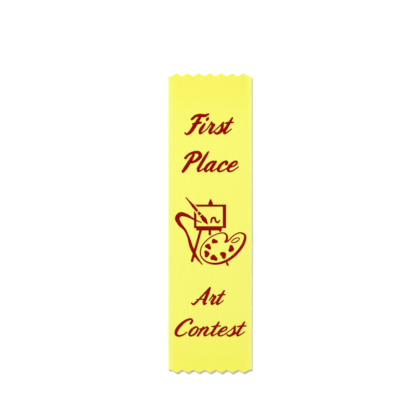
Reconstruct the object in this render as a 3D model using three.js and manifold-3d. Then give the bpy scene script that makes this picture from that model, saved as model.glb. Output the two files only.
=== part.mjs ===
// Award ribbon: one strip of satin, pinked at both ends, with its words and picture hot-stamped in foil.
// Millimetres. It hangs by its top end: +Z is up, its face looks along -Y and +X is to the reader's right.
// The origin is on the flat back, on the centre line, at the spot where a pin or a piece of tape holds it.

import * as THREE from "three";
import { mergeVertices } from "three/addons/utils/BufferGeometryUtils.js";
import Module from "manifold-3d";

const wasm = await Module();
wasm.setup();

// Ribbon: 1 5/8 in wide. Its length is taken over the tips of its teeth,
// and HOLD_DEPTH runs from the top tips down to the origin.
const WIDTH = 41.3;
const LENGTH = 148.3;
const THICKNESS = 0.25;
const HOLD_DEPTH = 12;
const TEETH = 7;
const TOOTH_PITCH = 5.52;
const TOOTH_HEIGHT = 1.55;
const TOP = HOLD_DEPTH;
const BOTTOM = TOP - LENGTH;

// Foil
const FOIL_THICKNESS = 0.05;

// Brush strokes are sampled finely, then thinned out: a sample stays where the stroke has turned by
// TURN_STEP, bowed by BOW_STEP or swollen by RADIUS_STEP since the last one. Joined strokes lose the
// points that are within WELD of a straight line.
const SAMPLES_PER_SPAN = 12;
const TURN_STEP = THREE.MathUtils.degToRad(10);
const BOW_STEP = 0.12;
const RADIUS_STEP = 0.07;
const CAP_SIDES = 7;
const WELD = 0.004;

// Lettering: the letters' grid is leant over by SLANT, and its strokes are made heavier by WEIGHT.
const SLANT = Math.tan(THREE.MathUtils.degToRad(28));
const WEIGHT = 1.1;
const LARGE_X_HEIGHT = 5;
const SMALL_X_HEIGHT = 4.4;

// Picture: its middle, below the tips of the top teeth. A dab of paint is drawn out by DAB_OVAL and lobed by
// DAB_LOBE, as shares of its radius.
const PICTURE_DROP = 78.8;
const DAB_SIDES = 28;
const DAB_OVAL = 0.16;
const DAB_LOBE = 0.14;
const ELLIPSE_STEPS = 10;

const satin = new THREE.MeshStandardMaterial({ color: 0xf6f676, roughness: 0.5, metalness: 0 });
const group = new THREE.Group();

// Each letter is a few brush strokes on an upright grid whose unit is the x-height.
// A stroke is a list of [across, up, width] points, and advance is how far on the next letter starts.
const LETTERS = {
  F: {
    advance: 1.22,
    strokes: [
      [
        [0.6, 1.7, 0.24], [0.55, 1.2, 0.33], [0.48, 0.5, 0.36],
        [0.38, 0.1, 0.3], [0.16, -0.05, 0.2], [-0.06, 0.08, 0.16],
      ],
      [[-0.1, 1.44, 0.24], [0.1, 1.74, 0.26], [0.5, 1.83, 0.3], [0.92, 1.78, 0.31], [1.26, 1.93, 0.18]],
      [[0.22, 0.96, 0.16], [0.6, 1.02, 0.24], [0.96, 1.1, 0.2]],
    ],
  },
  P: {
    advance: 1.42,
    strokes: [
      [[0.5, 1.64, 0.24], [0.47, 1.1, 0.34], [0.42, 0.5, 0.36], [0.34, 0.0, 0.28]],
      [
        [-0.06, 1.34, 0.26], [0.06, 1.66, 0.24], [0.4, 1.88, 0.26], [0.84, 1.86, 0.32],
        [1.1, 1.55, 0.36], [1.0, 1.15, 0.3], [0.7, 0.92, 0.22], [0.4, 0.92, 0.16],
      ],
    ],
  },
  A: {
    advance: 1.34,
    strokes: [
      [[0.72, 1.88, 0.2], [0.44, 1.14, 0.2], [0.14, 0.4, 0.22], [-0.1, 0.03, 0.24], [-0.34, 0.14, 0.17]],
      [
        [0.74, 1.88, 0.22], [0.82, 1.3, 0.31], [0.88, 0.6, 0.35],
        [0.93, 0.2, 0.31], [1.06, 0.03, 0.22], [1.24, 0.16, 0.15],
      ],
      [[0.0, 0.56, 0.14], [0.4, 0.6, 0.16], [0.94, 0.6, 0.15]],
    ],
  },
  C: {
    advance: 1.28,
    strokes: [
      [
        [0.98, 1.4, 0.26], [1.0, 1.7, 0.25], [0.8, 1.88, 0.23], [0.44, 1.72, 0.26], [0.16, 1.24, 0.34],
        [0.06, 0.66, 0.36], [0.2, 0.18, 0.31], [0.52, 0.0, 0.23], [0.86, 0.13, 0.18], [1.04, 0.42, 0.13],
      ],
    ],
  },
  a: {
    advance: 1.1,
    strokes: [
      [
        [0.6, 0.84, 0.16], [0.46, 0.99, 0.19], [0.22, 0.84, 0.24], [0.07, 0.46, 0.3],
        [0.11, 0.12, 0.26], [0.25, 0.01, 0.19], [0.37, 0.12, 0.14],
      ],
      [[0.3, 0.04, 0.15], [0.45, 0.26, 0.13], [0.6, 0.8, 0.15]],
      [
        [0.64, 0.98, 0.22], [0.58, 0.6, 0.3], [0.56, 0.28, 0.3],
        [0.67, 0.04, 0.22], [0.84, 0.1, 0.15], [1.12, 0.46, 0.12],
      ],
    ],
  },
  c: {
    advance: 0.84,
    strokes: [
      [
        [0.52, 0.74, 0.28], [0.52, 0.92, 0.23], [0.38, 1.01, 0.19], [0.16, 0.82, 0.25], [0.06, 0.44, 0.3],
        [0.12, 0.12, 0.26], [0.31, 0.01, 0.19], [0.54, 0.1, 0.15], [0.86, 0.46, 0.12],
      ],
    ],
  },
  e: {
    advance: 0.82,
    strokes: [
      [[0.06, 0.4, 0.14], [0.34, 0.5, 0.15], [0.54, 0.74, 0.19], [0.5, 0.94, 0.19], [0.36, 1, 0.18]],
      [
        [0.46, 0.98, 0.18], [0.34, 1, 0.19], [0.15, 0.8, 0.25], [0.05, 0.42, 0.3],
        [0.12, 0.12, 0.26], [0.3, 0.01, 0.19], [0.54, 0.1, 0.15], [0.84, 0.46, 0.12],
      ],
    ],
  },
  i: {
    advance: 0.62,
    strokes: [
      [
        [0.17, 0.98, 0.2], [0.11, 0.62, 0.3], [0.09, 0.28, 0.3],
        [0.2, 0.04, 0.22], [0.38, 0.1, 0.15], [0.66, 0.46, 0.12],
      ],
    ],
    dot: [[0.16, 1.36, 0.22], [0.18, 1.47, 0.3], [0.2, 1.56, 0.2]],
  },
  l: {
    advance: 0.62,
    strokes: [
      [
        [0.18, 1.93, 0.18], [0.14, 1.4, 0.28], [0.11, 0.8, 0.3], [0.09, 0.28, 0.3],
        [0.2, 0.04, 0.22], [0.38, 0.1, 0.15], [0.66, 0.46, 0.12],
      ],
    ],
  },
  n: {
    advance: 1.1,
    strokes: [
      [[0.14, 0.98, 0.2], [0.1, 0.6, 0.29], [0.04, 0.02, 0.24]],
      [
        [0.07, 0.34, 0.13], [0.24, 0.76, 0.15], [0.45, 0.99, 0.2], [0.59, 0.84, 0.27], [0.56, 0.5, 0.3],
        [0.54, 0.24, 0.3], [0.66, 0.04, 0.22], [0.84, 0.1, 0.15], [1.12, 0.46, 0.12],
      ],
    ],
  },
  o: {
    advance: 0.88,
    strokes: [
      [
        [0.5, 0.97, 0.17], [0.38, 1, 0.19], [0.18, 0.86, 0.24], [0.06, 0.48, 0.3],
        [0.12, 0.13, 0.26], [0.3, 0.01, 0.19], [0.42, 0.04, 0.18],
      ],
      [[0.28, 0.01, 0.18], [0.5, 0.12, 0.21], [0.63, 0.54, 0.24], [0.57, 0.88, 0.19], [0.42, 1, 0.17]],
      [[0.56, 0.84, 0.15], [0.76, 0.76, 0.13], [1.0, 0.92, 0.13]],
    ],
  },
  r: {
    advance: 0.92,
    strokes: [
      [[0.03, 0.46, 0.12], [0.12, 0.84, 0.15], [0.16, 1.1, 0.22]],
      [[0.16, 1.1, 0.22], [0.25, 0.93, 0.2], [0.48, 0.9, 0.27]],
      [
        [0.48, 0.9, 0.27], [0.44, 0.5, 0.3], [0.43, 0.24, 0.3],
        [0.53, 0.04, 0.22], [0.7, 0.1, 0.15], [0.96, 0.46, 0.12],
      ],
    ],
  },
  s: {
    advance: 0.82,
    strokes: [
      [[0.03, 0.46, 0.12], [0.22, 0.78, 0.14], [0.36, 1.1, 0.18]],
      [
        [0.36, 1.08, 0.18], [0.46, 0.76, 0.26], [0.56, 0.42, 0.3],
        [0.48, 0.12, 0.28], [0.26, 0.01, 0.22], [0.06, 0.12, 0.2],
      ],
      [[0.4, 0.06, 0.18], [0.58, 0.11, 0.15], [0.86, 0.46, 0.12]],
    ],
  },
  t: {
    advance: 0.64,
    strokes: [
      [
        [0.18, 1.56, 0.18], [0.15, 1.1, 0.26], [0.11, 0.6, 0.3], [0.09, 0.27, 0.3],
        [0.2, 0.04, 0.22], [0.38, 0.1, 0.15], [0.66, 0.46, 0.12],
      ],
      [[-0.24, 1.04, 0.14], [0.1, 1.1, 0.2], [0.5, 1.12, 0.15]],
    ],
  },
};

// A flat outline becomes a slab standing in the XZ plane, from y = 0 forward to y = -depth, by a quarter
// turn about X.
const UPRIGHT = new THREE.Matrix4().set(1, 0, 0, 0, 0, 0, -1, 0, 0, 1, 0, 0, 0, 0, 0, 1);

function slab(shape, depth) {
  const settings = { depth, bevelEnabled: false, curveSegments: ELLIPSE_STEPS };
  return new THREE.ExtrudeGeometry(shape, settings).applyMatrix4(UPRIGHT);
}

function toSolid(geometry) {
  geometry.deleteAttribute("normal");
  geometry.deleteAttribute("uv");
  const merged = mergeVertices(geometry);
  return new wasm.Manifold(
    new wasm.Mesh({
      numProp: 3,
      vertProperties: new Float32Array(merged.attributes.position.array),
      triVerts: new Uint32Array(merged.index.array),
    }),
  );
}

function toGeometry(solid) {
  const mesh = solid.getMesh();
  const geometry = new THREE.BufferGeometry();
  geometry.setAttribute("position", new THREE.BufferAttribute(mesh.vertProperties, 3));
  geometry.setIndex(new THREE.BufferAttribute(mesh.triVerts, 1));
  geometry.computeVertexNormals();
  return geometry;
}

const foilSlab = (shape) => toSolid(slab(shape, FOIL_THICKNESS));
const union = (solids) => solids.reduce((sum, solid) => sum.add(solid)).asOriginal().simplify(WELD);

// A foil island lies face to face on the front of the ribbon.
function addFoil(name, solid) {
  const foil = new THREE.MeshStandardMaterial({ color: 0x9a0f02, roughness: 0.35, metalness: 0.25 });
  const mesh = new THREE.Mesh(toGeometry(solid), foil);
  mesh.name = name;
  mesh.position.y = -THICKNESS;
  group.add(mesh);
}

// The centre line runs smoothly through the given [x, z, width] points, kept only where it bends or swells.
function centreLine(points) {
  const curve = new THREE.CatmullRomCurve3(points.map((point) => new THREE.Vector3(...point)));
  const fine = curve.getPoints((points.length - 1) * SAMPLES_PER_SPAN);
  const samples = fine.map((at, i) => {
    const before = fine[Math.max(i - 1, 0)];
    const after = fine[Math.min(i + 1, fine.length - 1)];
    const heading = Math.atan2(after.y - before.y, after.x - before.x);
    return { x: at.x, z: at.y, radius: at.z / 2, heading };
  });
  const kept = [samples[0]];
  samples.slice(1, -1).forEach((sample) => {
    const last = kept[kept.length - 1];
    const turn = Math.abs(Math.sin((sample.heading - last.heading) / 2)) * 2;
    const bow = turn * Math.hypot(sample.x - last.x, sample.z - last.z);
    const swell = Math.abs(sample.radius - last.radius);
    if (turn > TURN_STEP || bow > BOW_STEP || swell > RADIUS_STEP) kept.push(sample);
  });
  return [...kept, samples[samples.length - 1]];
}

// Where two lines a to b and c to d cross, or nothing.
function crossing(a, b, c, d) {
  const ab = b.clone().sub(a);
  const cd = d.clone().sub(c);
  const ac = c.clone().sub(a);
  const across = ab.cross(cd);
  const t = ac.cross(cd) / across;
  const u = ac.cross(ab) / across;
  return t >= 0 && t <= 1 && u >= 0 && u <= 1 ? a.clone().addScaledVector(ab, t) : null;
}

// On the inside of a tight bend the edge crosses itself: the little loop is cut off at the crossing.
function withoutLoops(edge) {
  for (let i = 0; i < edge.length - 3; i++) {
    for (let j = edge.length - 2; j > i + 1; j--) {
      const meet = crossing(edge[i], edge[i + 1], edge[j], edge[j + 1]);
      if (meet) return withoutLoops([...edge.slice(0, i + 1), meet, ...edge.slice(j + 1)]);
    }
  }
  return edge;
}

// One edge of a stroke: side 1 is its left, -1 its right.
function strokeEdge(samples, side) {
  const edge = samples.map(
    ({ x, z, radius, heading }) =>
      new THREE.Vector2(x - side * radius * Math.sin(heading), z + side * radius * Math.cos(heading)),
  );
  return withoutLoops(edge);
}

// The round end of a stroke, swept anticlockwise through half a turn from the given angle.
function strokeCap({ x, z, radius }, from) {
  return Array.from({ length: CAP_SIDES - 1 }, (_, i) => {
    const angle = from + (Math.PI * (i + 1)) / CAP_SIDES;
    return new THREE.Vector2(x + radius * Math.cos(angle), z + radius * Math.sin(angle));
  });
}

function brushStroke(points) {
  const samples = centreLine(points);
  const first = samples[0];
  const last = samples[samples.length - 1];
  return new THREE.Shape([
    ...strokeEdge(samples, -1),
    ...strokeCap(last, last.heading - Math.PI / 2),
    ...strokeEdge(samples, 1).reverse(),
    ...strokeCap(first, first.heading + Math.PI / 2),
  ]);
}

const strokeSolid = (points) => foilSlab(brushStroke(points));

// A cutter along a stroke stands proud of the foil on both sides.
function strokeCutter(points) {
  return toSolid(slab(brushStroke(points), 3 * FOIL_THICKNESS).translate(0, FOIL_THICKNESS, 0));
}

// The ribbon itself: straight selvedges, and teeth between two short flat shoulders at each end.
function ribbonOutline() {
  const half = WIDTH / 2;
  const firstValley = (-TEETH * TOOTH_PITCH) / 2;
  const shape = new THREE.Shape();
  shape.moveTo(-half, BOTTOM + TOOTH_HEIGHT);
  for (let i = 0; i < TEETH; i++) {
    const valley = firstValley + i * TOOTH_PITCH;
    shape.lineTo(valley, BOTTOM + TOOTH_HEIGHT);
    shape.lineTo(valley + TOOTH_PITCH / 2, BOTTOM);
  }
  shape.lineTo(-firstValley, BOTTOM + TOOTH_HEIGHT);
  shape.lineTo(half, BOTTOM + TOOTH_HEIGHT);
  shape.lineTo(half, TOP - TOOTH_HEIGHT);
  for (let i = TEETH; i > 0; i--) {
    const valley = firstValley + i * TOOTH_PITCH;
    shape.lineTo(valley, TOP - TOOTH_HEIGHT);
    shape.lineTo(valley - TOOTH_PITCH / 2, TOP);
  }
  shape.lineTo(firstValley, TOP - TOOTH_HEIGHT);
  shape.lineTo(-half, TOP - TOOTH_HEIGHT);
  return shape;
}

function addRibbon() {
  const mesh = new THREE.Mesh(slab(ribbonOutline(), THICKNESS), satin);
  mesh.name = "ribbon_strip";
  group.add(mesh);
}

// One line of script: its capital, its joined small letters and the dot of an i are separate islands.
function addWord({ word, xHeight, spread, baseline, centre }) {
  const starts = [];
  let advance = 0;
  for (const letter of word) {
    starts.push(advance);
    advance += LETTERS[letter].advance;
  }
  const left = centre - ((advance * spread + SLANT) * xHeight) / 2;
  const place = (stroke, start) =>
    stroke.map(([across, up, width]) => [
      left + ((start + across) * spread + up * SLANT) * xHeight,
      baseline + up * xHeight,
      width * WEIGHT * xHeight,
    ]);
  const joined = [];
  [...word].forEach((letter, i) => {
    const strokes = LETTERS[letter].strokes.map((stroke) => strokeSolid(place(stroke, starts[i])));
    if (i === 0) addFoil(`foil_${word}_capital`, union(strokes));
    else joined.push(...strokes);
    const { dot } = LETTERS[letter];
    if (dot) addFoil(`foil_${word}_${letter}_dot`, strokeSolid(place(dot, starts[i])));
  });
  addFoil(`foil_${word}_letters`, union(joined));
}

// A word's spread widens its letters and the room between them.
const WORDS = [
  { word: "First", xHeight: LARGE_X_HEIGHT, spread: 1.02, baseline: TOP - 30, centre: -0.2 },
  { word: "Place", xHeight: LARGE_X_HEIGHT, spread: 1.17, baseline: TOP - 48.7, centre: 0 },
  { word: "Art", xHeight: SMALL_X_HEIGHT, spread: 1.04, baseline: TOP - 114.5, centre: 0 },
  { word: "Contest", xHeight: SMALL_X_HEIGHT, spread: 1.26, baseline: TOP - 130, centre: 0 },
];

// The picture: a painter's easel with a brush at work on its canvas, and a palette in front of its right leg.
// Its points are [x, z] or [x, z, width] from the picture's middle.
const CANVAS = { left: -8, right: 8, bottom: 2.1, top: 13.8 };
const CANVAS_BARS = { left: 1.35, right: 1.75, bottom: 1, top: 1.15 };
const LEDGE = { left: -6.9, right: 5.9, bottom: 0.9, top: 3.1 };
const MAST = [[0.3, 14.2, 2.4], [0.3, 15.9, 1.1]];
const LEGS = [
  [[-4.5, 1.4, 1.35], [-8.9, -14.1, 1.35]],
  [[-0.1, 1.4, 1.35], [-0.1, -0.9, 1.35]],
  [[4.8, 1.4, 1.35], [5.0, 0.85, 1.3]],
];
const FOOT = [[8.45, -15.3, 1.2], [8.8, -16.1, 1.1]];
const PAINT_STROKE = [
  [-4.4, 4.9, 0.6], [-8.2, 6.6, 1], [-11.8, 8.5, 1.8], [-14.8, 8.9, 2.3], [-16.2, 7, 2.4], [-15, 4.2, 2],
  [-12.4, 1.2, 1.3], [-10.7, -2.4, 1.3], [-9.3, -7, 1.8], [-7, -11.8, 1.5], [-3.9, -15.8, 0.6],
];
const BRUSH = [
  [-11.9, 17.2, 0.6], [-10, 15, 0.95], [-7.9, 12.5, 1.65], [-6.2, 10.4, 1.25], [-5, 9, 1.6],
  [-3.8, 7.6, 1.9], [-2.8, 6.3, 2.4], [-1.8, 4.9, 1.4], [-1.3, 4.1, 0.5],
];
const BRUSH_CUTS = [
  [[-7.1, 9.4, 0.4], [-5.1, 11, 0.4]],
  [[-5.7, 7.7, 0.4], [-3.3, 9.6, 0.4]],
];
const BRUSH_CLEARANCE = [[-12.1, 17.5, 1.6], [-7.9, 12.5, 2.4], [-4.9, 9, 2.6], [-2.5, 6.1, 2.9]];
const SQUIGGLE = [
  [0.5, 5, 1], [1, 6.9, 1.15], [2.3, 7.2, 1.15], [2.8, 5.6, 1.1], [3.9, 4.9, 1.05], [4.8, 6, 0.7],
];
const PALETTE_RIM = [
  [8.4, -2.9, 1.25], [8.3, -1.6, 1.1], [7.1, -0.4, 0.85], [4.4, -0.5, 0.65], [-0.6, -3, 0.65],
  [-4.2, -7.2, 0.65], [-4.6, -11.4, 0.75], [-1.8, -14.5, 0.9], [3, -15.5, 1.15], [8.6, -13.8, 1.4],
  [13.4, -10, 1.5], [16.8, -4.9, 1.5], [17.2, -1.4, 1.2], [14.8, -0.2, 0.75], [11.6, -1.6, 0.65],
  [8.8, -4.4, 0.75], [7.6, -4.7, 1.1],
];
const PALETTE_NOTCH = [[8.4, -2.9, 1.25], [8.2, -3.8, 1.25], [7.6, -4.7, 1.2]];
const THUMB_HOLE_TILT = THREE.MathUtils.degToRad(27);
const THUMB_HOLE = { x: 12.6, z: -3.9, across: 2.4, up: 1.15, line: 0.62, tilt: THUMB_HOLE_TILT };
const DABS = [
  { x: 2.2, z: -4.4, radius: 1.35, turn: 0.3 },
  { x: -0.9, z: -7, radius: 1.45, turn: 1.4 },
  { x: -1.6, z: -10.6, radius: 1.5, turn: 2.9 },
  { x: 1.9, z: -12.6, radius: 1.6, turn: 0.9 },
  { x: 6.6, z: -11.2, radius: 1.6, turn: 2.2 },
  { x: 10.5, z: -8.1, radius: 1.55, turn: 3.6 },
];

const inPicture = (points) => points.map(([x, z, ...width]) => [x, TOP - PICTURE_DROP + z, ...width]);
const pictureStroke = (points) => strokeSolid(inPicture(points));
const pictureCutter = (points) => strokeCutter(inPicture(points));

function rectangle({ left, right, bottom, top }) {
  const corners = inPicture([[left, bottom], [right, bottom], [right, top], [left, top]]);
  return corners.map(([x, z]) => new THREE.Vector2(x, z));
}

function canvasFrame() {
  const opening = {
    left: CANVAS.left + CANVAS_BARS.left,
    right: CANVAS.right - CANVAS_BARS.right,
    bottom: CANVAS.bottom + CANVAS_BARS.bottom,
    top: CANVAS.top - CANVAS_BARS.top,
  };
  const shape = new THREE.Shape(rectangle(CANVAS));
  shape.holes.push(new THREE.Path(rectangle(opening)));
  return foilSlab(shape);
}

// The brush passes in front of the canvas's top left corner, so the easel stops short of it.
function addEasel() {
  const frame = [canvasFrame(), foilSlab(new THREE.Shape(rectangle(LEDGE))), pictureStroke(MAST)];
  const drawn = union([...frame, ...LEGS.map(pictureStroke), pictureStroke(PAINT_STROKE)]);
  addFoil("foil_easel", drawn.subtract(pictureCutter(BRUSH_CLEARANCE)));
  addFoil("foil_easel_foot", pictureStroke(FOOT));
}

// Two thin lines left bare across the brush part its handle, its ferrule and its bristles.
function addBrush() {
  const parts = pictureStroke(BRUSH).subtract(union(BRUSH_CUTS.map(pictureCutter))).decompose();
  parts.sort((a, b) => b.boundingBox().max[2] - a.boundingBox().max[2]);
  ["handle", "ferrule", "bristles"].forEach((name, i) => addFoil(`foil_brush_${name}`, parts[i]));
  addFoil("foil_paint_squiggle", pictureStroke(SQUIGGLE));
}

function thumbHole() {
  const { x, z, across, up, line, tilt } = THUMB_HOLE;
  const middle = TOP - PICTURE_DROP + z;
  const turn = 2 * Math.PI;
  const rim = new THREE.Shape().absellipse(x, middle, across, up, 0, turn, false, tilt);
  rim.holes.push(new THREE.Path().absellipse(x, middle, across - line, up - line, 0, turn, true, tilt));
  return foilSlab(rim);
}

// A dab of paint is a circle drawn out into three unequal lobes.
function paintDab({ x, z, radius, turn }) {
  const rim = Array.from({ length: DAB_SIDES }, (_, i) => {
    const angle = (2 * Math.PI * i) / DAB_SIDES;
    const swell = DAB_OVAL * Math.cos(2 * angle + turn) + DAB_LOBE * Math.cos(3 * angle + 2 * turn);
    const reach = radius * (1 + swell);
    return new THREE.Vector2(x + reach * Math.cos(angle), TOP - PICTURE_DROP + z + reach * Math.sin(angle));
  });
  return foilSlab(new THREE.Shape(rim));
}

function addPalette() {
  addFoil("foil_palette_edge", union([pictureStroke(PALETTE_RIM), pictureStroke(PALETTE_NOTCH)]));
  addFoil("foil_thumb_hole", thumbHole());
  DABS.forEach((dab, i) => addFoil(`foil_paint_dab_${i + 1}`, paintDab(dab)));
}

addRibbon();
WORDS.forEach(addWord);
addEasel();
addBrush();
addPalette();

export default group;
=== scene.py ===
"""An award ribbon: a strip of yellow satin, pinked at both ends and stamped in dark red foil."""

import math

import bmesh
import bpy
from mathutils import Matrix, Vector
from mathutils.bvhtree import BVHTree
from mathutils.geometry import delaunay_2d_cdt


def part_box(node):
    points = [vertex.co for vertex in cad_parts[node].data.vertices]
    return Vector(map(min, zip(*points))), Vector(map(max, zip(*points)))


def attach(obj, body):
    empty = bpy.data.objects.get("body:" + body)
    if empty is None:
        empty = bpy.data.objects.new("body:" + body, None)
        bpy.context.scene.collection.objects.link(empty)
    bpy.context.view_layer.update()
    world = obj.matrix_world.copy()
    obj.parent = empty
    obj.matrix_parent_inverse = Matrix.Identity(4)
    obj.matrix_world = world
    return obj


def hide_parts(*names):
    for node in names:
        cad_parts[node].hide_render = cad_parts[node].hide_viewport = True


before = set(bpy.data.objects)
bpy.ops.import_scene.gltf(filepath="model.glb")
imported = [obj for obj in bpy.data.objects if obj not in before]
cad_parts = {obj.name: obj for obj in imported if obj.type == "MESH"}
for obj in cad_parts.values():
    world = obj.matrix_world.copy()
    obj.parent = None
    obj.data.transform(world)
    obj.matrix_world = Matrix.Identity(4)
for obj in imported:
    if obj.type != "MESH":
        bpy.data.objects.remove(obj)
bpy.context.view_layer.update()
scene = bpy.context.scene


# ---------------------------------------------------------------------------------------------
# Camera
# The ribbon is seen square-on, a little below the middle of the view, and takes up a fifth of
# its width. A long lens keeps the ribbon's two sides parallel.

MM = 0.001
LENS = 100
SENSOR_WIDTH = 36
RIBBON_SHARE = 0.1988
CAMERA_ABOVE = 6.4 * MM

strip_low, strip_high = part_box("ribbon_strip")
strip_middle = (strip_low + strip_high) / 2
strip_size = strip_high - strip_low
view_width = strip_size.x / RIBBON_SHARE

camera_data = bpy.data.cameras.new("camera")
camera_data.lens = LENS
camera_data.sensor_width = SENSOR_WIDTH
camera = bpy.data.objects.new("camera", camera_data)
camera.location = (
    strip_middle.x,
    strip_low.y - view_width * LENS / SENSOR_WIDTH,
    strip_middle.z + CAMERA_ABOVE,
)
camera.rotation_euler = (math.radians(90), 0, 0)
scene.collection.objects.link(camera)
scene.camera = camera


# ---------------------------------------------------------------------------------------------
# The ribbon strip
# One length of single-face satin, woven from bright filament whose long floats leave the face
# smooth and finely ribbed. It is cut from the roll by a pair of toothed blades, so both ends are
# pinked, and it keeps a slight bow from the roll below the spot where it is held.

# The cut and the lie of the cloth.
TEETH = 7
TOOTH_PITCH = 5.52 * MM
TOOTH_HEIGHT = 1.55 * MM
TOOTH_REACH = 6 * MM
COLUMNS_PER_TOOTH = 14
SHOULDER_COLUMNS = 4
ROW_SPACING = 0.39 * MM
BOW = 0.15 * MM
CROWN = 0.1 * MM
CROWN_AT_TOP = 0.4
RIPPLE = 0.12 * MM
RIPPLE_SIZE = 22 * MM
TIP_CURL = 0.18 * MM
CURLS_PER_TOOTH = 1.3
CURL_LEVEL = 0.4
SHARP_ANGLE = math.radians(40)

# The weave.
WARP_PITCH = 0.34 * MM
FLOAT_LENGTH = 1.5 * MM
FLOAT_STEP = 0.4
DIP_START = 0.7
DIP_DEPTH = 0.6
RELIEF = 0.03 * MM
STREAKS_PER_THREAD = 0.45
STREAKS_PER_FLOAT = 0.06

# The dye, painted a deeper yellow towards both ends as painted shade where the satin's sheen falls
# off, and the gloss.
FACE_YELLOW = (0.915, 0.914, 0.167)
# The yellow of the ends is painted shade, where the satin's sheen falls off.
SHEENLESS_END_YELLOW = (0.908, 0.885, 0.117)
SELVEDGE_YELLOW = (0.915, 0.912, 0.225)
BACK_YELLOW = (0.88, 0.87, 0.2)
# The back's ends get the same painted shade.
BACK_SHEENLESS_END_YELLOW = (0.87, 0.85, 0.16)
STAMPED_YELLOW = (0.74, 0.56, 0.13)
SHEEN_FADE_LENGTH = 36 * MM
SELVEDGE_FADE = 3.2 * MM
SELVEDGE_BAND = 0.6 * MM
SELVEDGE_PALENESS = 0.8
DARKEST_STREAK = 0.975
SHOW_THROUGH = 0.3
SHOW_SOFTNESS = 0.5 * MM
FACE_ROUGHNESS = (0.36, 0.46)
BACK_ROUGHNESS = (0.6, 0.72)
FACE_BUMP = 0.5
BACK_BUMP = 0.8
SATIN_FINISH = {
    "Anisotropic": 0.6,
    "Specular_IOR_Level": 0.35,
    "Sheen_Weight": 0.06,
    "Sheen_Roughness": 0.35,
}

# The places of a Mix node's colours among its sockets.
COLOURS_INTO_MIX = (6, 7)
COLOUR_OUT_OF_MIX = 2

# A line that looks for the face starts this far in front of it and runs backwards.
IN_FRONT = 20 * MM
BACKWARDS = Vector((0, 1, 0))

tooth_columns = TEETH * COLUMNS_PER_TOOTH // 2
half_columns = tooth_columns + SHOULDER_COLUMNS
ribbon_thickness = strip_size.y


def join(tree, value, socket):
    """Links a tree's value to a socket, or sets the socket to a plain value."""
    if isinstance(value, Quantity):
        value = value.socket
    if isinstance(value, bpy.types.NodeSocket):
        tree.links.new(value, socket)
    else:
        socket.default_value = value


def add_node(tree, kind, inputs=None, **settings):
    """Adds one node to a tree, with its settings, and joins its inputs, given by name or number."""
    node = tree.nodes.new(kind)
    for name, value in settings.items():
        setattr(node, name, value)
    for name, value in (inputs or {}).items():
        join(tree, value, node.inputs[name])
    return node


class Quantity:
    """A number that a node tree works out, written as ordinary arithmetic."""

    def __init__(self, tree, socket):
        self.tree = tree
        self.socket = socket

    def step(self, operation, *others):
        """What a Math node makes of this number and the others."""
        node = self.tree.nodes.new("ShaderNodeMath")
        node.operation = operation
        for value, socket in zip((self, *others), node.inputs):
            join(self.tree, value, socket)
        return Quantity(self.tree, node.outputs[0])

    def __add__(self, other):
        return self.step("ADD", other)

    def __sub__(self, other):
        return self.step("SUBTRACT", other)

    def __mul__(self, other):
        return self.step("MULTIPLY", other)

    def __truediv__(self, other):
        return self.step("DIVIDE", other)

    def size(self):
        return self.step("ABSOLUTE")

    def at_least(self, other):
        return self.step("MAXIMUM", other)

    def at_most(self, other):
        return self.step("MINIMUM", other)

    def between(self, low, high):
        """Goes from low to high as this number goes from 0 to 1."""
        return self * (high - low) + low

    def ramp(self, start, end):
        """0 up to start and 1 from end on, with a smooth rise between them."""
        node = add_node(
            self.tree,
            "ShaderNodeMapRange",
            {"Value": self, "From Min": start, "From Max": end},
            interpolation_type="SMOOTHSTEP",
        )
        return Quantity(self.tree, node.outputs["Result"])


def new_group(kind, name, inputs, outputs):
    """A node group with the sockets named, and its input and output nodes."""
    group = bpy.data.node_groups.new(name, kind)
    for label, socket_type, default in inputs:
        socket = group.interface.new_socket(label, in_out="INPUT", socket_type=socket_type)
        if default is not None:
            socket.default_value = default
    for label, socket_type in outputs:
        group.interface.new_socket(label, in_out="OUTPUT", socket_type=socket_type)
    return group, group.nodes.new("NodeGroupInput"), group.nodes.new("NodeGroupOutput")


def place_across_and_along(tree):
    """Where a point is across the ribbon and along it."""
    place = add_node(tree, "ShaderNodeTexCoord").outputs["Object"]
    parts = add_node(tree, "ShaderNodeSeparateXYZ", {0: place}).outputs
    return Quantity(tree, parts["X"]), Quantity(tree, parts["Z"])


def build_weave_group():
    """The weave as a height, from 0 in the furrows to 1 on the threads, and fine streaks.

    Each thread floats over several picks of weft and dips under one, a step later in every next
    thread. The threads run along the ribbon where Crosswise is 0, and across it where it is 1.
    """
    group, given, result = new_group(
        "ShaderNodeTree",
        "satin weave",
        [
            ("Thread pitch", "NodeSocketFloat", WARP_PITCH),
            ("Float length", "NodeSocketFloat", FLOAT_LENGTH),
            ("Crosswise", "NodeSocketFloat", 0),
        ],
        [("Height", "NodeSocketFloat"), ("Streaks", "NodeSocketFloat")],
    )
    across, along = place_across_and_along(group)
    turned = (along - across) * Quantity(group, given.outputs["Crosswise"])
    across, along = across + turned, along - turned
    thread = across / given.outputs["Thread pitch"]
    number = thread.step("FLOOR")
    from_middle = (thread - number - 0.5) * 2
    roundness = (from_middle * from_middle).between(1, 0)
    float_place = along / given.outputs["Float length"] + number * FLOAT_STEP
    from_dip = (float_place - float_place.step("FLOOR") - 0.5).size() * 2
    dip = from_dip.ramp(DIP_START, 1)
    join(group, roundness * dip.between(1, 1 - DIP_DEPTH), result.inputs["Height"])
    stretched = add_node(
        group,
        "ShaderNodeCombineXYZ",
        {
            "X": thread * STREAKS_PER_THREAD,
            "Y": along / given.outputs["Float length"] * STREAKS_PER_FLOAT,
        },
    )
    streaks = add_node(
        group, "ShaderNodeTexNoise", {"Vector": stretched.outputs[0], "Scale": 1, "Detail": 3}
    )
    join(group, streaks.outputs["Fac"], result.inputs["Streaks"])
    return group


weave_group = build_weave_group()


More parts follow.
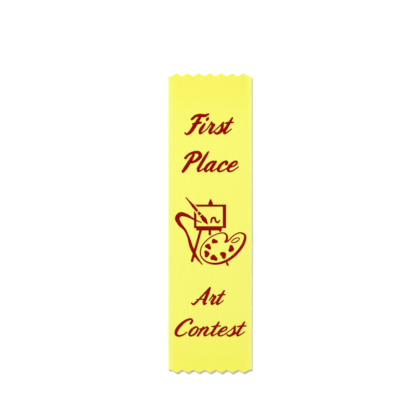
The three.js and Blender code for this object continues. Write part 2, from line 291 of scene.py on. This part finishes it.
def new_material(name, colour, **shader_values):
    """A material with one Principled shader whose even values are set on its own sockets."""
    material = bpy.data.materials.new(name)
    material.use_nodes = True
    material.diffuse_color = (*colour, 1)
    shader = material.node_tree.nodes["Principled BSDF"]
    shader.inputs["Base Color"].default_value = (*colour, 1)
    for label, value in shader_values.items():
        shader.inputs[label.replace("_", " ")].default_value = value
    return material, material.node_tree, shader


def blend_colours(tree, share, first, second, blend_type="MIX"):
    """Goes from the first colour to its blend with the second as share goes from 0 to 1."""
    mix = add_node(
        tree, "ShaderNodeMix", {"Factor": share}, data_type="RGBA", blend_type=blend_type
    )
    for value, place in zip((first, second), COLOURS_INTO_MIX):
        join(tree, (*value, 1) if isinstance(value, tuple) else value, mix.inputs[place])
    return mix.outputs[COLOUR_OUT_OF_MIX]


def shade_streaks(tree, streaks, colour):
    """Darkens a colour along the streaks of the thread."""
    level = streaks.between(2 * DARKEST_STREAK - 1, 1)
    grey = add_node(tree, "ShaderNodeCombineColor", {"Red": level, "Green": level, "Blue": level})
    return blend_colours(tree, 1, colour, grey.outputs[0], blend_type="MULTIPLY")


def satin_material(
    name, colour, sheenless_end_colour, edge_colour, roughness, bump, crosswise=0, show_through=0
):
    """Satin painted a deeper yellow towards both ends, painted shade where its sheen falls off, with
    paler selvedges, through which the print shows.
    """
    material, tree, shader = new_material(name, colour, Roughness=roughness[1], **SATIN_FINISH)
    across, along = place_across_and_along(tree)
    weave = add_node(tree, "ShaderNodeGroup", node_tree=weave_group)
    weave.inputs["Crosswise"].default_value = crosswise
    streaks = Quantity(tree, weave.outputs["Streaks"])
    half_length = strip_size.z / 2
    half_width = strip_size.x / 2
    # Both ends are painted a deeper yellow, painted shade that stands in for the satin's sheen falling
    # off there.
    painted_sheen_fade = (along - strip_middle.z).size().ramp(half_length - SHEEN_FADE_LENGTH, half_length)
    near_selvedge = across.size().ramp(half_width - SELVEDGE_FADE, half_width - SELVEDGE_BAND)
    sheen_painted = blend_colours(tree, painted_sheen_fade, colour, sheenless_end_colour)
    edged = blend_colours(tree, near_selvedge * SELVEDGE_PALENESS, sheen_painted, edge_colour)
    if show_through:
        stamped = add_node(tree, "ShaderNodeAttribute", attribute_name="stamped").outputs["Fac"]
        edged = blend_colours(tree, Quantity(tree, stamped) * show_through, edged, STAMPED_YELLOW)
    join(tree, shade_streaks(tree, streaks, edged), shader.inputs["Base Color"])
    join(tree, streaks.between(*roughness), shader.inputs["Roughness"])
    relief = add_node(
        tree,
        "ShaderNodeBump",
        {"Strength": bump, "Distance": RELIEF, "Height": weave.outputs["Height"]},
    )
    join(tree, relief.outputs["Normal"], shader.inputs["Normal"])
    tangent = add_node(tree, "ShaderNodeTangent", direction_type="UV_MAP", uv_map="UVMap")
    join(tree, tangent.outputs[0], shader.inputs["Tangent"])
    return material


satin_face = satin_material(
    "satin face", FACE_YELLOW, SHEENLESS_END_YELLOW, SELVEDGE_YELLOW, FACE_ROUGHNESS, FACE_BUMP
)
satin_back = satin_material(
    "satin back",
    BACK_YELLOW,
    BACK_SHEENLESS_END_YELLOW,
    BACK_YELLOW,
    BACK_ROUGHNESS,
    BACK_BUMP,
    crosswise=1,
    show_through=SHOW_THROUGH,
)


def keep_uv_map(group, geometry, uv_map):
    """Stores a shape's UV map, by which the satin's gloss knows which way its threads run."""
    return add_node(
        group,
        "GeometryNodeStoreNamedAttribute",
        {"Geometry": geometry, "Name": "UVMap", "Value": uv_map},
        data_type="FLOAT2",
        domain="CORNER",
    ).outputs[0]


def finish_tree(group, geometry, given, result):
    """Ends a tree with real, smooth faces in the material given."""
    real = add_node(group, "GeometryNodeRealizeInstances", {"Geometry": geometry})
    smooth = add_node(group, "GeometryNodeSetShadeSmooth", {"Geometry": real.outputs[0]})
    dressed = add_node(
        group,
        "GeometryNodeSetMaterial",
        {"Geometry": smooth.outputs[0], "Material": given.outputs["Material"]},
    )
    join(group, dressed.outputs[0], result.inputs[0])


def build_strip_tree():
    """A sheet of cloth with pinked ends, laid as the ribbon hangs."""
    group, given, result = new_group(
        "GeometryNodeTree",
        "pinked strip",
        [
            ("Width", "NodeSocketFloat", strip_size.x),
            ("Length", "NodeSocketFloat", strip_size.z),
            ("Low end", "NodeSocketFloat", strip_low.z),
            ("Rows", "NodeSocketInt", round(strip_size.z / ROW_SPACING)),
            ("Tooth pitch", "NodeSocketFloat", TOOTH_PITCH),
            ("Tooth height", "NodeSocketFloat", TOOTH_HEIGHT),
            ("Bow", "NodeSocketFloat", BOW),
            ("Crown", "NodeSocketFloat", CROWN),
            ("Ripple", "NodeSocketFloat", RIPPLE),
            ("Tip curl", "NodeSocketFloat", TIP_CURL),
            ("Material", "NodeSocketMaterial", None),
        ],
        [("Cloth", "NodeSocketGeometry")],
    )
    width, length, low_end, pitch = (
        Quantity(group, given.outputs[label])
        for label in ("Width", "Length", "Low end", "Tooth pitch")
    )
    grid = add_node(
        group,
        "GeometryNodeMeshGrid",
        {
            "Size X": 2 * half_columns,
            "Size Y": 1,
            "Vertices X": 2 * half_columns + 1,
            "Vertices Y": given.outputs["Rows"],
        },
    )
    place = add_node(group, "GeometryNodeInputPosition").outputs[0]
    parts = add_node(group, "ShaderNodeSeparateXYZ", {0: place}).outputs
    column = Quantity(group, parts["X"])
    share_along = Quantity(group, parts["Y"]) + 0.5

    # Columns fall on every tip and valley of the teeth, and a few more share out each shoulder.
    under_teeth = column.size().at_most(tooth_columns) * pitch / COLUMNS_PER_TOOTH
    shoulder = (width / 2 - pitch * (TEETH / 2)) / SHOULDER_COLUMNS
    from_middle = under_teeth + (column.size() - tooth_columns).at_least(0) * shoulder
    across = from_middle * column.step("SIGN")

    # The cut follows the teeth at each end, and the rows of cloth straighten out behind it.
    wave = under_teeth.step("PINGPONG", pitch / 2) / (pitch / 2)
    notch = wave * given.outputs["Tooth height"]
    from_low = share_along * length
    from_high = length - from_low
    low_pull = (from_low / TOOTH_REACH).between(1, 0).at_least(0)
    high_pull = (from_high / TOOTH_REACH).between(1, 0).at_least(0)
    height = low_end + from_low + notch * (low_pull - high_pull)

    # Below the held spot the strip bows forward and back, and its two sides fall behind the middle.
    hanging = (height / low_end).at_least(0)
    bow = (hanging * math.tau).step("COSINE").between(0.5, 0)
    crown = (from_middle / width * 2).step("POWER", 2)
    ripple_place = add_node(
        group, "ShaderNodeCombineXYZ", {"X": across / RIPPLE_SIZE, "Y": height / (2 * RIPPLE_SIZE)}
    )
    noise = add_node(
        group, "ShaderNodeTexNoise", {"Vector": ripple_place.outputs[0], "Scale": 1, "Detail": 1}
    )
    ripple = Quantity(group, noise.outputs["Fac"]) - 0.5
    curl_place = add_node(group, "ShaderNodeCombineXYZ", {"X": across / pitch, "Y": height / length})
    curl_noise = add_node(
        group,
        "ShaderNodeTexNoise",
        {"Vector": curl_place.outputs[0], "Scale": CURLS_PER_TOOTH, "Detail": 0},
    )
    curl_share = Quantity(group, curl_noise.outputs["Fac"]) - CURL_LEVEL
    curl = curl_share * (low_pull + high_pull) * given.outputs["Tip curl"]
    depth = (
        crown * given.outputs["Crown"] * hanging.between(CROWN_AT_TOP, 1)
        - bow * given.outputs["Bow"]
        + ripple * given.outputs["Ripple"]
        - curl
        + strip_middle.y
    )
    spot = add_node(group, "ShaderNodeCombineXYZ", {"X": across, "Y": depth, "Z": height})
    laid = add_node(
        group,
        "GeometryNodeSetPosition",
        {"Geometry": grid.outputs["Mesh"], "Position": spot.outputs[0]},
    )
    mapped = keep_uv_map(group, laid.outputs[0], grid.outputs["UV Map"])
    finish_tree(group, mapped, given, result)
    return group


def new_piece(name, mesh):
    """Puts a mesh into the scene as a piece of that name."""
    mesh.name = name
    piece = bpy.data.objects.new(name, mesh)
    scene.collection.objects.link(piece)
    return piece


def freeze(piece):
    """The mesh that a piece's modifiers give."""
    bpy.context.view_layer.update()
    seen = piece.evaluated_get(bpy.context.evaluated_depsgraph_get())
    return bpy.data.meshes.new_from_object(seen)


def grow(name, tree, base_mesh, material):
    """Runs a tree on a mesh, in the material given, and returns the mesh that it makes."""
    worker = new_piece(name + "_maker", base_mesh)
    modifier = worker.modifiers.new("maker", "NODES")
    modifier.node_group = tree
    modifier[tree.interface.items_tree["Material"].identifier] = material
    mesh = freeze(worker)
    bpy.data.objects.remove(worker)
    return mesh


cloth_mesh = grow("cloth", build_strip_tree(), bpy.data.meshes.new("start"), satin_face)


def thicken(name, mesh, thickness):
    """Gives a sheet its thickness, half to each side, with the back in its own material."""
    piece = new_piece(name, mesh.copy())
    piece.data.materials.append(satin_back)
    solidify = piece.modifiers.new("thickness", "SOLIDIFY")
    solidify.thickness = thickness
    solidify.offset = 0
    solidify.material_offset = 1
    solid = freeze(piece)
    piece.modifiers.clear()
    piece.data = solid
    solid.name = name
    solid.set_sharp_from_angle(angle=SHARP_ANGLE)
    return piece


def surface_of(meshes):
    """A surface made of several meshes, for finding where a straight line meets it."""
    corners = []
    faces = []
    for mesh in meshes:
        first = len(corners)
        corners += [vertex.co.copy() for vertex in mesh.vertices]
        faces += [[first + i for i in polygon.vertices] for polygon in mesh.polygons]
    return BVHTree.FromPolygons(corners, faces)


def mark_stamped(cloth):
    """Stores how much of the cloth around each of its points lies under the print."""
    printed = [node.data for name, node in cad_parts.items() if name.startswith("foil_")]
    surface = surface_of(printed)
    around = [(i * SHOW_SOFTNESS, k * SHOW_SOFTNESS) for i in (-0.5, 0.5) for k in (-0.5, 0.5)]
    stamped = cloth.attributes.new("stamped", "FLOAT", "POINT")
    for vertex, mark in zip(cloth.vertices, stamped.data):
        starts = [Vector((vertex.co.x + i, -IN_FRONT, vertex.co.z + k)) for i, k in around]
        hits = [surface.ray_cast(start, BACKWARDS)[0] is not None for start in starts]
        mark.value = sum(hits) / len(hits)


ribbon = thicken("satin_ribbon", cloth_mesh, ribbon_thickness)
mark_stamped(ribbon.data)
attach(ribbon, "root")
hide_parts("ribbon_strip")


# ---------------------------------------------------------------------------------------------
# The selvedges
# Where the weft turns back at each side of the ribbon it makes a row of tiny loops, which stand
# a little thicker than the cloth. They are woven in one with it.

PICK_PITCH = 0.3 * MM
LOOP_RADIUS = 0.15 * MM
LOOP_INSET = 0.1 * MM
LOOP_SIDES = 8
LOOP_RINGS = 5
SMALLEST_LOOP = (0.85, 0.92, 1.05)
LARGEST_LOOP = (1.05, 1.08, 1.25)
SIDE_REACH = 0.01 * MM


def edge_curve(group, cloth, chosen, spacing):
    """A run of points, evenly spaced, along the chosen edges of the cloth."""
    curve = add_node(group, "GeometryNodeMeshToCurve", {"Mesh": cloth, "Selection": chosen})
    return add_node(
        group,
        "GeometryNodeResampleCurve",
        {"Curve": curve.outputs[0], "Length": spacing},
        mode="LENGTH",
    ).outputs[0]


def side_and_end_edges(group, half_width):
    """Which edges of the cloth lie on its selvedges, and which on its cut ends."""
    place = add_node(group, "GeometryNodeInputPosition").outputs[0]
    parts = add_node(group, "ShaderNodeSeparateXYZ", {0: place}).outputs
    on_side = Quantity(group, parts["X"]).size().step("GREATER_THAN", half_width - SIDE_REACH)
    faces_beside = add_node(group, "GeometryNodeInputMeshEdgeNeighbors").outputs["Face Count"]
    on_rim = Quantity(group, faces_beside).step("LESS_THAN", 2)
    return on_side, on_rim - on_side


def build_loops_tree():
    """A loop of weft at every pick along both selvedges."""
    group, given, result = new_group(
        "GeometryNodeTree",
        "selvedge loops",
        [
            ("Cloth", "NodeSocketGeometry", None),
            ("Pick pitch", "NodeSocketFloat", PICK_PITCH),
            ("Loop radius", "NodeSocketFloat", LOOP_RADIUS),
            ("Inset", "NodeSocketFloat", LOOP_INSET),
            ("Material", "NodeSocketMaterial", None),
        ],
        [("Loops", "NodeSocketGeometry")],
    )
    sides, _ = side_and_end_edges(group, strip_size.x / 2)
    points = edge_curve(group, given.outputs["Cloth"], sides, given.outputs["Pick pitch"])
    loop = add_node(
        group,
        "GeometryNodeMeshUVSphere",
        {
            "Segments": LOOP_SIDES,
            "Rings": LOOP_RINGS,
            "Radius": given.outputs["Loop radius"],
        },
    )
    mapped_loop = keep_uv_map(group, loop.outputs["Mesh"], loop.outputs["UV Map"])
    size = add_node(
        group,
        "FunctionNodeRandomValue",
        {0: SMALLEST_LOOP, 1: LARGEST_LOOP, "Seed": 4},
        data_type="FLOAT_VECTOR",
    )
    loops = add_node(
        group,
        "GeometryNodeInstanceOnPoints",
        {"Points": points, "Instance": mapped_loop, "Scale": size.outputs[0]},
    )
    place = add_node(group, "GeometryNodeInputPosition").outputs[0]
    parts = add_node(group, "ShaderNodeSeparateXYZ", {0: place}).outputs
    inward = Quantity(group, parts["X"]).step("SIGN") * given.outputs["Inset"] * -1
    shift = add_node(group, "ShaderNodeCombineXYZ", {"X": inward})
    moved = add_node(
        group, "GeometryNodeSetPosition", {"Geometry": loops.outputs[0], "Offset": shift.outputs[0]}
    )
    finish_tree(group, moved.outputs[0], given, result)
    return group


def woven_detail(name, tree, material):
    """A detail of the cloth that a tree grows along the edges of the sheet."""
    piece = new_piece(name, grow(name, tree, cloth_mesh.copy(), material))
    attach(piece, "root")
    return piece


selvedges = woven_detail("selvedge_loops", build_loops_tree(), satin_face)


# ---------------------------------------------------------------------------------------------
# The cut ends
# The blades leave the ends of the warp threads bare along every tooth, and a few stand out by a
# fraction of a millimetre.

THREAD_SPACING = 0.36 * MM
THREAD_RADIUS = 0.045 * MM
THREAD_LENGTH = 0.42 * MM
THREAD_INSIDE = 0.3 * MM
THREAD_TAPER = 0.35
THREAD_SIDES = 5
THREAD_LEAN = 0.35
SHORTEST_THREAD = (0.8, 0.8, 0.7)
LONGEST_THREAD = (1.1, 1.1, 1.35)


def build_thread_ends_tree():
    """A short bare thread end at even steps along both cut ends."""
    group, given, result = new_group(
        "GeometryNodeTree",
        "thread ends",
        [
            ("Cloth", "NodeSocketGeometry", None),
            ("Spacing", "NodeSocketFloat", THREAD_SPACING),
            ("Thread radius", "NodeSocketFloat", THREAD_RADIUS),
            ("Thread length", "NodeSocketFloat", THREAD_LENGTH),
            ("Material", "NodeSocketMaterial", None),
        ],
        [("Threads", "NodeSocketGeometry")],
    )
    _, ends = side_and_end_edges(group, strip_size.x / 2)
    points = edge_curve(group, given.outputs["Cloth"], ends, given.outputs["Spacing"])
    thread = add_node(
        group,
        "GeometryNodeMeshCone",
        {
            "Vertices": THREAD_SIDES,
            "Side Segments": 2,
            "Radius Top": Quantity(group, given.outputs["Thread radius"]) * THREAD_TAPER,
            "Radius Bottom": given.outputs["Thread radius"],
            "Depth": given.outputs["Thread length"],
        },
    )
    mapped_thread = keep_uv_map(group, thread.outputs["Mesh"], thread.outputs["UV Map"])
    sunk = add_node(
        group,
        "GeometryNodeTransform",
        {"Geometry": mapped_thread, "Translation": (0, 0, -THREAD_INSIDE)},
    )
    place = add_node(group, "GeometryNodeInputPosition").outputs[0]
    parts = add_node(group, "ShaderNodeSeparateXYZ", {0: place}).outputs
    outward = (Quantity(group, parts["Z"]) - strip_middle.z).step("SIGN")
    lean = add_node(
        group,
        "FunctionNodeRandomValue",
        {0: (-THREAD_LEAN, -THREAD_LEAN, 0), 1: (THREAD_LEAN, THREAD_LEAN, 0), "Seed": 7},
        data_type="FLOAT_VECTOR",
    )
    leaning = add_node(group, "ShaderNodeSeparateXYZ", {0: lean.outputs[0]}).outputs
    direction = add_node(
        group,
        "ShaderNodeCombineXYZ",
        {"X": leaning["X"], "Y": leaning["Y"], "Z": outward},
    )
    turn = add_node(
        group, "FunctionNodeAlignRotationToVector", {"Vector": direction.outputs[0]}, axis="Z"
    )
    size = add_node(
        group,
        "FunctionNodeRandomValue",
        {0: SHORTEST_THREAD, 1: LONGEST_THREAD, "Seed": 11},
        data_type="FLOAT_VECTOR",
    )
    threads = add_node(
        group,
        "GeometryNodeInstanceOnPoints",
        {
            "Points": points,
            "Instance": sunk.outputs[0],
            "Rotation": turn.outputs[0],
            "Scale": size.outputs[0],
        },
    )
    finish_tree(group, threads.outputs[0], given, result)
    return group


thread_ends = woven_detail("cut_thread_ends", build_thread_ends_tree(), satin_face)


# ---------------------------------------------------------------------------------------------
# The foil print
# Dark red foil is stamped on with a hot die. Each island of the design is its own patch of film,
# which follows the cloth and lets the ribs of the satin show through its gloss.

FOIL_RED = (0.335, 0.0006, 0.0002)
# The deep red marks both where the die pressed harder and painted shade in the furrows of the weave.
FOIL_PRESSED_AND_FURROW_SHADE_RED = (0.255, 0.0005, 0.0002)
FOIL_ROUGHNESS = (0.2, 0.36)
FOIL_BUMP = 0.45
FOIL_FINISH = {"Roughness": 0.3, "IOR": 1.42, "Specular_IOR_Level": 0.12}
PRESS_PATCHES_PER_METRE = 260
PRESSED_HARD = (0.35, 0.75)
WEAVE_SHARE = 0.6
FOIL_PROUD = 0.04 * MM
FOIL_SUNK = 0.05 * MM
OUTLINE_STEP = 0.22 * MM
CORNER_TURN = math.radians(35)
INNER_SPACING = 0.9 * MM
RIM_CLEARANCE = 0.3 * MM
SLIVER = 0.00001 * MM**2

# Points of a solid within this depth are on its face, and points this near to one another are one.
FACE_DEPTH = 0.0125 * MM
MERGED_IN_SOLID = 0.0001 * MM
MERGED_IN_FILM = 0.000001 * MM


def foil_material():
    """Glossy red film over satin, a little uneven where the die pressed harder, and darker in the
    furrows of the weave as painted shade.
    """
    material, tree, shader = new_material("red foil", FOIL_RED, **FOIL_FINISH)
    weave = add_node(tree, "ShaderNodeGroup", node_tree=weave_group)
    ribs = Quantity(tree, weave.outputs["Height"])
    place = add_node(tree, "ShaderNodeTexCoord").outputs["Object"]
    press = add_node(
        tree,
        "ShaderNodeTexNoise",
        {"Vector": place, "Scale": PRESS_PATCHES_PER_METRE, "Detail": 4},
    )
    pressed = Quantity(tree, press.outputs["Fac"])
    # The red darkens in the furrows between the threads, a painted shade, and where the die pressed
    # harder.
    deeper = (ribs.between(1, 0) + pressed.ramp(*PRESSED_HARD)) / 2
    colour = blend_colours(tree, deeper, FOIL_RED, FOIL_PRESSED_AND_FURROW_SHADE_RED)
    join(tree, colour, shader.inputs["Base Color"])
    join(tree, pressed.between(*FOIL_ROUGHNESS), shader.inputs["Roughness"])
    height = ribs * WEAVE_SHARE + pressed * (1 - WEAVE_SHARE)
    relief = add_node(
        tree, "ShaderNodeBump", {"Strength": FOIL_BUMP, "Distance": RELIEF, "Height": height}
    )
    join(tree, relief.outputs["Normal"], shader.inputs["Normal"])
    return material


red_foil = foil_material()


def patch_outlines(node):
    """The closed outlines of a patch's printed face, each a list of points (across, up)."""
    solid = bmesh.new()
    solid.from_mesh(node.data)
    bmesh.ops.remove_doubles(solid, verts=solid.verts, dist=MERGED_IN_SOLID)
    front = min(vertex.co.y for vertex in solid.verts) + FACE_DEPTH
    following = {}
    for face in solid.faces:
        if all(vertex.co.y < front for vertex in face.verts):
            for loop in face.loops:
                start, end = loop.vert, loop.link_loop_next.vert
                across_rim = [f for f in loop.edge.link_faces if f is not face]
                if any(vertex.co.y > front for f in across_rim for vertex in f.verts):
                    following.setdefault(start, []).append(end)
    outlines = []
    while following:
        start = next(iter(following))
        outline = []
        vertex = start
        while vertex in following:
            outline.append(Vector((vertex.co.x, vertex.co.z)))
            ends = following[vertex]
            after = ends.pop()
            if not ends:
                del following[vertex]
            vertex = after
        outlines.append(outline)
    solid.free()
    return outlines


def rounded(outline):
    """Draws an outline again with fine steps on a smooth curve, which still turns at its corners."""
    count = len(outline)
    turns = []
    for i, point in enumerate(outline):
        came = point - outline[i - 1]
        goes = outline[(i + 1) % count] - point
        turns.append(abs(came.angle_signed(goes, 0)))
    fine = []
    for i, start in enumerate(outline):
        end = outline[(i + 1) % count]
        span = (end - start).length
        before = outline[i - 1]
        after = outline[(i + 2) % count]
        straight = end - start
        leaving = straight
        if turns[i] < CORNER_TURN:
            leaving = (end - before) * (span / ((start - before).length + span))
        arriving = straight
        if turns[(i + 1) % count] < CORNER_TURN:
            arriving = (after - start) * (span / ((after - end).length + span))
        steps = max(1, math.ceil(span / OUTLINE_STEP))
        for k in range(steps):
            t = k / steps
            fine.append(
                start * (2 * t**3 - 3 * t**2 + 1)
                + leaving * (t**3 - 2 * t**2 + t)
                + end * (3 * t**2 - 2 * t**3)
                + arriving * (t**3 - t**2)
            )
    return fine


def inside(point, outlines):
    """Whether a point lies on the film, by how many outlines it is within."""
    within = False
    for outline in outlines:
        for start, end in zip(outline, outline[1:] + outline[:1]):
            if (start.y > point.y) != (end.y > point.y):
                share = (point.y - start.y) / (end.y - start.y)
                if point.x < start.x + share * (end.x - start.x):
                    within = not within
    return within


def inner_points(outlines):
    """Points spread evenly over the film, clear of its rim, so that it can follow the cloth."""
    rim = [point for outline in outlines for point in outline]
    low = Vector((min(p.x for p in rim), min(p.y for p in rim)))
    high = Vector((max(p.x for p in rim), max(p.y for p in rim)))
    spread = []
    row_height = INNER_SPACING * math.sqrt(3) / 2
    for row in range(int((high.y - low.y) / row_height) + 1):
        shift = INNER_SPACING / 2 * (row % 2)
        for column in range(int((high.x - low.x) / INNER_SPACING) + 1):
            point = low + Vector((column * INNER_SPACING + shift, row * row_height))
            clear = all((point - other).length > RIM_CLEARANCE for other in rim)
            if clear and inside(point, outlines):
                spread.append(point)
    return spread


def flat_patch(outlines):
    """The points and triangles of a flat patch of film."""
    points = [point for outline in outlines for point in outline]
    rims = []
    first = 0
    for outline in outlines:
        count = len(outline)
        rims += [(first + i, first + (i + 1) % count) for i in range(count)]
        first += count
    made = delaunay_2d_cdt(points + inner_points(outlines), rims, [], 0, MERGED_IN_FILM, False)
    places, triangles = made[0], made[2]
    kept = []
    for triangle in triangles:
        a, b, c = (places[i] for i in triangle)
        area = abs((b - a).cross(c - a)) / 2
        if area > SLIVER and inside((a + b + c) / 3, outlines):
            kept.append(triangle)
    return places, kept


def lay_film(name, node, cloth):
    """Lays one patch of film on the cloth, with its rim pressed into the face of the satin."""
    outlines = [rounded(outline) for outline in patch_outlines(node)]
    places, triangles = flat_patch(outlines)
    film = bmesh.new()
    fronts = []
    backs = []
    for place in places:
        start = Vector((place.x, -IN_FRONT, place.y))
        touch = cloth.ray_cast(start, BACKWARDS)[0]
        fronts.append(film.verts.new((place.x, touch.y - FOIL_PROUD, place.y)))
        backs.append(film.verts.new((place.x, touch.y + FOIL_SUNK, place.y)))
    edges = {}
    for a, b, c in triangles:
        if (places[b] - places[a]).cross(places[c] - places[a]) < 0:
            b, c = c, b
        film.faces.new((fronts[a], fronts[b], fronts[c]))
        film.faces.new((backs[c], backs[b], backs[a]))
        for edge in ((a, b), (b, c), (c, a)):
            edges[edge] = True

    # An edge that no triangle has the other way round lies on the rim, and gets a wall.
    for a, b in edges:
        if (b, a) not in edges:
            film.faces.new((fronts[b], fronts[a], backs[a], backs[b]))
    bmesh.ops.delete(film, geom=[v for v in film.verts if not v.link_faces], context="VERTS")
    for face in film.faces:
        face.smooth = True
    mesh = bpy.data.meshes.new(name)
    film.to_mesh(mesh)
    film.free()
    mesh.set_sharp_from_angle(angle=SHARP_ANGLE)
    mesh.materials.append(red_foil)
    return new_piece(name, mesh)


cloth_surface = surface_of([ribbon.data])
for node_name, node in sorted(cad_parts.items()):
    if node_name.startswith("foil_"):
        patch = lay_film(node_name.replace("foil_", "print_"), node, cloth_surface)
        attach(patch, "root")
        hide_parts(node_name)


# ---------------------------------------------------------------------------------------------
# The wall and the floor
# The ribbon hangs just clear of a white wall, so that it throws a thin shadow to the right and
# below. The wall shows only from the front, and only to the camera. The floor is plain and pale,
# and sends no soft light up into the shadow.

WALL_GAP = 0.45 * MM
WALL_SIZE = 0.6
WALL_WHITE = (0.74, 0.74, 0.74)
WALL_GLOW = 0.3
FLOOR_SIZE = 7
FLOOR_DROP = 32 * MM
FLOOR_GREY = (0.48, 0.48, 0.475)


def stage_plane(name, corners, material):
    """A flat stage piece through four corners."""
    mesh = bpy.data.meshes.new(name)
    mesh.from_pydata(corners, [], [(0, 1, 2, 3)])
    mesh.materials.append(material)
    piece = new_piece(name, mesh)
    return piece


def wall_material():
    """Matt white, and clear when seen from behind."""
    material, tree, shader = new_material(
        "white wall", WALL_WHITE, Roughness=1, Specular_IOR_Level=0, Emission_Strength=WALL_GLOW
    )
    shader.inputs["Emission Color"].default_value = (1, 1, 1, 1)
    clear = add_node(tree, "ShaderNodeBsdfTransparent")
    behind = add_node(tree, "ShaderNodeNewGeometry").outputs["Backfacing"]
    mix = add_node(tree, "ShaderNodeMixShader", {0: behind, 1: shader.outputs[0], 2: clear.outputs[0]})
    join(tree, mix.outputs[0], tree.nodes["Material Output"].inputs["Surface"])
    return material


floor_height = strip_low.z - FLOOR_DROP
wall_y = strip_high.y + WALL_GAP
wall = stage_plane(
    "wall",
    [
        (-WALL_SIZE / 2, wall_y, floor_height),
        (WALL_SIZE / 2, wall_y, floor_height),
        (WALL_SIZE / 2, wall_y, floor_height + WALL_SIZE),
        (-WALL_SIZE / 2, wall_y, floor_height + WALL_SIZE),
    ],
    wall_material(),
)
wall.visible_diffuse = False
wall.visible_glossy = False
wall.visible_transmission = False
wall.visible_shadow = False

pale_floor, _, _ = new_material("pale floor", FLOOR_GREY, Roughness=0.9)
floor = stage_plane(
    "floor",
    [
        (-FLOOR_SIZE / 2, -FLOOR_SIZE / 2, floor_height),
        (FLOOR_SIZE / 2, -FLOOR_SIZE / 2, floor_height),
        (FLOOR_SIZE / 2, FLOOR_SIZE / 2, floor_height),
        (-FLOOR_SIZE / 2, FLOOR_SIZE / 2, floor_height),
    ],
    pale_floor,
)
floor.visible_diffuse = False


# ---------------------------------------------------------------------------------------------
# Light
# A soft light at the upper left throws the shadow. A larger one above the camera fills it, and
# one behind lights the back of the ribbon.

LIGHT_DISTANCE = 5
KEY_SIZE = 1.3
FILL_SIZE = 3
WORLD_LIGHT = 0.08


def add_light(name, direction, level, size):
    """A square light that alone would show a white card facing the ribbon's way at that level."""
    towards = Vector(direction).normalized()
    data = bpy.data.lights.new(name, "AREA")
    data.shape = "SQUARE"
    data.size = size
    data.energy = level * math.pi**2 * LIGHT_DISTANCE**2 / abs(towards.y)
    light = bpy.data.objects.new(name, data)
    light.location = strip_middle + towards * LIGHT_DISTANCE
    light.rotation_euler = (-towards).to_track_quat("-Z", "Y").to_euler()
    scene.collection.objects.link(light)


add_light("key light", direction=(-1, -1, 1.45), level=0.815, size=KEY_SIZE)
add_light("fill light", direction=(0.2, -1, 0.9), level=0.2, size=FILL_SIZE)
add_light("back light", direction=(0.6, 0.8, 0.5), level=0.8, size=FILL_SIZE)

world = bpy.data.worlds.new("studio")
world.use_nodes = True
studio = world.node_tree
background = studio.nodes["Background"]
background.inputs["Color"].default_value = (1, 1, 1, 1)
seen = add_node(studio, "ShaderNodeLightPath").outputs["Is Camera Ray"]
join(studio, Quantity(studio, seen).between(WORLD_LIGHT, 1), background.inputs["Strength"])
scene.world = world
scene.view_settings.view_transform = "Standard"
